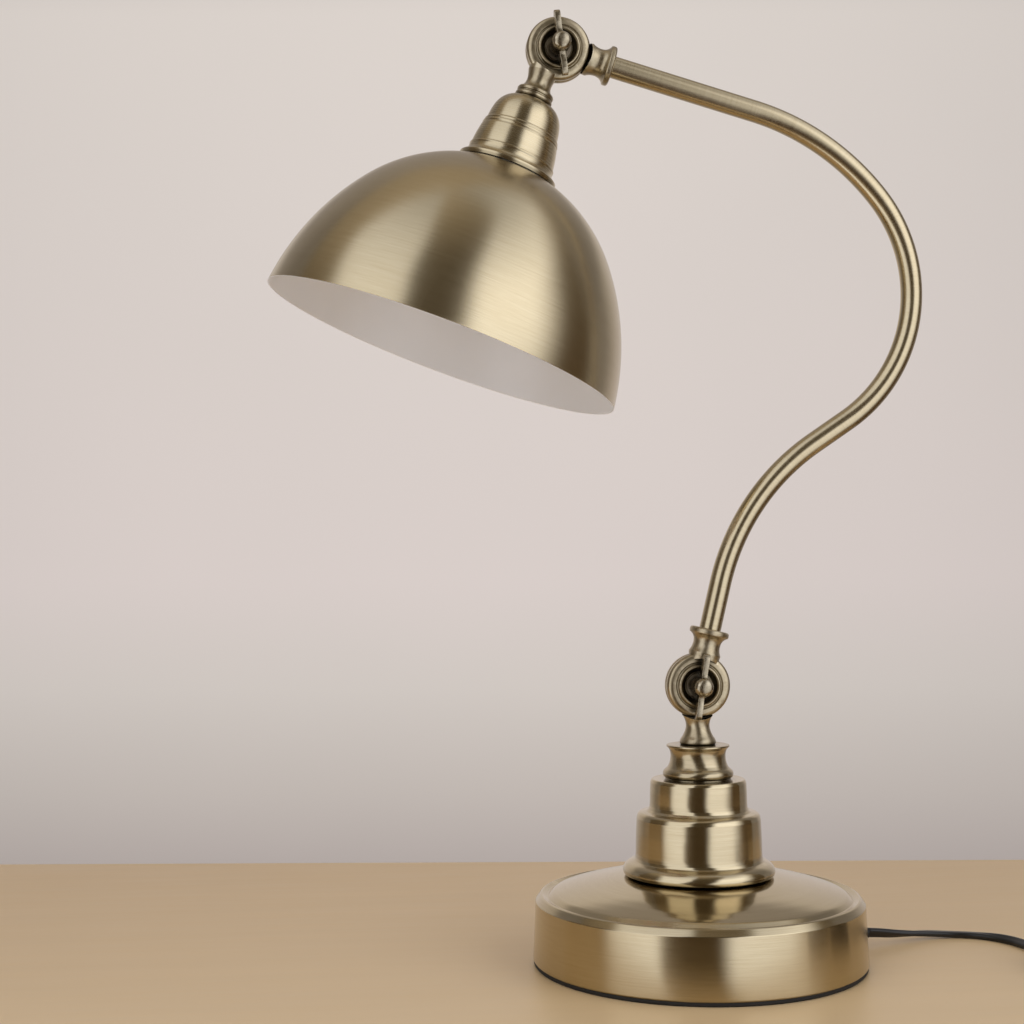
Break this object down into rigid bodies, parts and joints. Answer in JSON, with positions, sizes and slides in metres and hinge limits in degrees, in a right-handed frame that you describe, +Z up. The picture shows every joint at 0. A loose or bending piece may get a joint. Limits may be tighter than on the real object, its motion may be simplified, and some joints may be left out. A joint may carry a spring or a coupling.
{
  "type": "swing arm desk lamp",
  "caption": "Desk lamp with a round weighted base, stepped stem, S-shaped tube arm between two wing-nut knuckles, and a domed metal shade, white inside.",
  "frame": {"origin": "centre of the base's underside, on the table", "axes": "+Z up; the arm and head move in the XZ plane, the head hangs on the -X side; the wing nuts face -Y; the cord leaves towards +X"},
  "size_m": [0.4882, 0.2556, 0.4873],
  "materials": {
    "antique_brass": "brushed, lacquered antique",
    "shade_brass": "brushed antique outside, white enamel inside",
    "cast_brass": "satin antique",
    "bright_brass": "satin",
    "aged_steel": "bronzed",
    "zinc_steel": "zinc plated",
    "nickel": "nickel plated",
    "weight_iron": "as cast",
    "pad_rubber": "matte",
    "black_plastic": "satin",
    "black_gloss": "gloss",
    "black_pvc": "satin",
    "fibre": "matte",
    "holder_white": "satin",
    "opal_glass": "opal"
  },
  "bodies": {
    "base": {"base_pad": "pad_rubber", "base_shell": "antique_brass", "base_weight": "weight_iron", "stem_nipple": "zinc_steel", "stem_washer": "zinc_steel", "stem_nut": "zinc_steel", "step_collar": "antique_brass", "pedestal_spool": "antique_brass", "base_knuckle": "cast_brass", "lower_bolt": "aged_steel", "cord_bushing": "black_plastic", "cord_clip": "zinc_steel", "base_lead": "black_pvc", "cord_lead": "black_pvc", "switch_base": "black_plastic", "switch_cover": "black_plastic", "switch_screws": "zinc_steel", "cord_link": "black_pvc", "cord_coil": "black_pvc", "coil_tie": "black_plastic", "cord_tail": "black_pvc", "plug_body": "black_plastic", "plug_pins": "nickel"},
    "arm": {"arm_lower_knuckle": "cast_brass", "lower_friction_washer": "fibre", "lower_face_washer": "aged_steel", "arm_tube": "antique_brass", "arm_upper_knuckle": "cast_brass", "collar_screws": "aged_steel", "arm_lead": "black_pvc", "upper_bolt": "aged_steel"},
    "lower_wing": {"lower_wing_nut": "bright_brass"},
    "upper_wing": {"upper_wing_nut": "bright_brass"},
    "head": {"head_knuckle": "cast_brass", "upper_friction_washer": "fibre", "upper_face_washer": "aged_steel", "head_nipple": "zinc_steel", "socket_cup": "antique_brass", "head_nut": "zinc_steel", "holder_body": "holder_white", "holder_shell": "bright_brass", "holder_contact": "bright_brass", "head_lead": "black_pvc", "shade": "shade_brass", "shade_ring": "holder_white", "bulb_glass": "opal_glass", "bulb_cap": "nickel", "bulb_contact": "zinc_steel"},
    "rocker": {"switch_rocker": "black_gloss"}
  },
  "joints": [
    {"name": "arm_tilt", "type": "hinge", "parent": "base", "child": "arm", "pos_m": [0, 0, 0.142], "axis": [0, 1, 0], "range_deg": [-45, 40]},
    {"name": "head_tilt", "type": "hinge", "parent": "arm", "child": "head", "pos_m": [-0.07088, 0, 0.47031], "axis": [0, 1, 0], "range_deg": [-40, 80]},
    {"name": "lower_wing_turn", "type": "hinge", "parent": "base", "child": "lower_wing", "pos_m": [0, 0, 0.142], "axis": [0, -1, 0], "range_deg": [0, 180]},
    {"name": "upper_wing_turn", "type": "hinge", "parent": "arm", "child": "upper_wing", "pos_m": [-0.07088, 0, 0.47031], "axis": [0, -1, 0], "range_deg": [0, 180]},
    {"name": "rocker_tilt", "type": "hinge", "parent": "base", "child": "rocker", "pos_m": [0.183, -0.05, 0.0104], "axis": [1, 0, 0], "range_deg": [-12, 0]}
  ]
}
